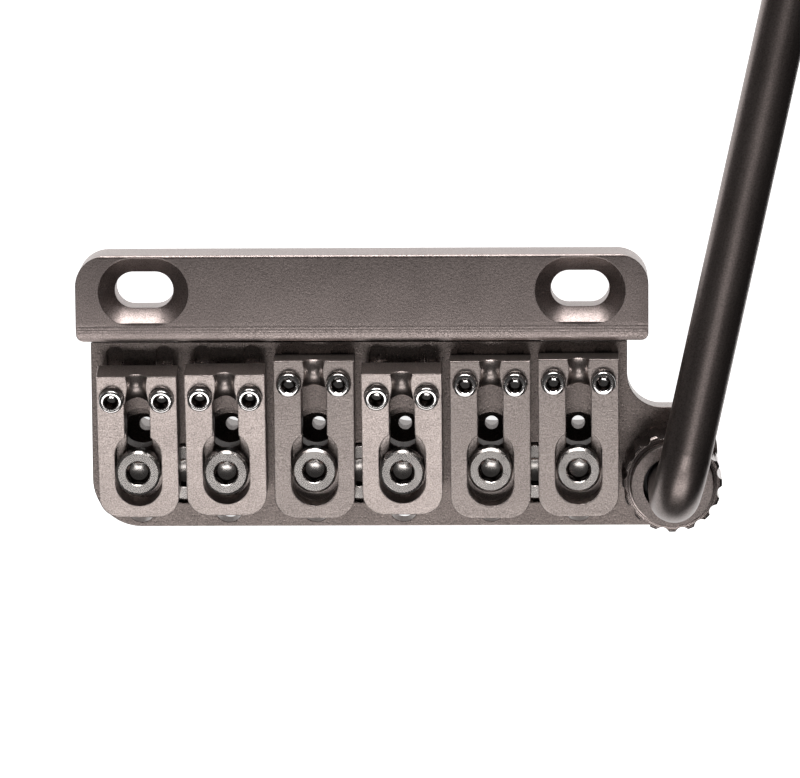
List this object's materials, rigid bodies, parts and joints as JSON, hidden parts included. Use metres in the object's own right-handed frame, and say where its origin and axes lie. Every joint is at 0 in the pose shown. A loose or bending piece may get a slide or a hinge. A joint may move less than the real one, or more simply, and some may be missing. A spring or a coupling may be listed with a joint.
{
  "type": "guitar tremolo bridge",
  "caption": "Tremolo bridge: slotted mounting bar, tilting base plate with string block, sliding saddles with height and clamp screws, and a swivelling arm with a tension wheel.",
  "frame": {"origin": "midway between the two mounting slots, on the face that rests on the guitar", "axes": "+X to the treble side, +Y to the neck, +Z away from the guitar"},
  "size_m": [0.108, 0.1561, 0.0603],
  "materials": {
    "bar_steel": "bead-blasted stainless steel, satin",
    "plate_steel": "bead-blasted stainless steel, satin",
    "saddle_steel": "bead-blasted stainless steel, satin",
    "collar_steel": "bead-blasted stainless steel, satin",
    "arm_steel": "dark satin stainless steel",
    "screw_chrome": "polished",
    "cap_screw_steel": "satin plated",
    "pin_steel": "ground",
    "bush_bronze": "turned bronze",
    "liner_plastic": "black acetal"
  },
  "bodies": {
    "bar": {"mounting_bar": "bar_steel", "hinge_pin": "pin_steel"},
    "plate": {"base_plate": "plate_steel", "hinge_bushes": "bush_bronze", "tremolo_block": "plate_steel", "block_screws": "cap_screw_steel", "clamp_screws": "cap_screw_steel", "arm_collar": "collar_steel", "collar_liner": "liner_plastic"},
    "arm": {"tremolo_arm": "arm_steel"},
    "wheel": {"tension_wheel": "collar_steel"},
    "saddle_unit_1": {"saddle_1": "saddle_steel"},
    "height_pair_1": {"height_screws_1": "screw_chrome"},
    "saddle_unit_2": {"saddle_2": "saddle_steel"},
    "height_pair_2": {"height_screws_2": "screw_chrome"},
    "saddle_unit_3": {"saddle_3": "saddle_steel"},
    "height_pair_3": {"height_screws_3": "screw_chrome"},
    "saddle_unit_4": {"saddle_4": "saddle_steel"},
    "height_pair_4": {"height_screws_4": "screw_chrome"},
    "saddle_unit_5": {"saddle_5": "saddle_steel"},
    "height_pair_5": {"height_screws_5": "screw_chrome"},
    "saddle_unit_6": {"saddle_6": "saddle_steel"},
    "height_pair_6": {"height_screws_6": "screw_chrome"}
  },
  "joints": [
    {"name": "bridge_tilt", "type": "hinge", "parent": "bar", "child": "plate", "pos_m": [0, -0.0039, 0.00335], "axis": [-1, 0, 0], "range_deg": [-1.7, 22]},
    {"name": "arm_swivel", "type": "hinge", "parent": "plate", "child": "arm", "pos_m": [0.03795, -0.023, 0.0134], "axis": [0, 0, 1], "continuous": true},
    {"name": "tension_turn", "type": "hinge", "parent": "plate", "child": "wheel", "pos_m": [0.03795, -0.023, 0.0078], "axis": [0, 0, 1], "continuous": true},
    {"name": "saddle_1_intonation", "type": "slide", "parent": "plate", "child": "saddle_unit_1", "axis": [0, 1, 0], "range_m": [-0.0021, 0.0008]},
    {"name": "saddle_1_height", "type": "slide", "parent": "saddle_unit_1", "child": "height_pair_1", "axis": [0, -0.1564, 0.9877], "range_m": [0, 0.002]},
    {"name": "saddle_2_intonation", "type": "slide", "parent": "plate", "child": "saddle_unit_2", "axis": [0, 1, 0], "range_m": [-0.0023, 0.0006]},
    {"name": "saddle_2_height", "type": "slide", "parent": "saddle_unit_2", "child": "height_pair_2", "axis": [0, -0.1564, 0.9877], "range_m": [0, 0.002]},
    {"name": "saddle_3_intonation", "type": "slide", "parent": "plate", "child": "saddle_unit_3", "axis": [0, 1, 0], "range_m": [-0.002, 0.0013]},
    {"name": "saddle_3_height", "type": "slide", "parent": "saddle_unit_3", "child": "height_pair_3", "axis": [0, -0.0175, 0.9998], "range_m": [0, 0.002]},
    {"name": "saddle_4_intonation", "type": "slide", "parent": "plate", "child": "saddle_unit_4", "axis": [0, 1, 0], "range_m": [-0.00235, 0.00055]},
    {"name": "saddle_4_height", "type": "slide", "parent": "saddle_unit_4", "child": "height_pair_4", "axis": [0, -0.1564, 0.9877], "range_m": [0, 0.002]},
    {"name": "saddle_5_intonation", "type": "slide", "parent": "plate", "child": "saddle_unit_5", "axis": [0, 1, 0], "range_m": [-0.0019, 0.0014]},
    {"name": "saddle_5_height", "type": "slide", "parent": "saddle_unit_5", "child": "height_pair_5", "axis": [0, -0.0175, 0.9998], "range_m": [0, 0.002]},
    {"name": "saddle_6_intonation", "type": "slide", "parent": "plate", "child": "saddle_unit_6", "axis": [0, 1, 0], "range_m": [-0.0021, 0.0012]},
    {"name": "saddle_6_height", "type": "slide", "parent": "saddle_unit_6", "child": "height_pair_6", "axis": [0, -0.0175, 0.9998], "range_m": [0, 0.002]}
  ]
}
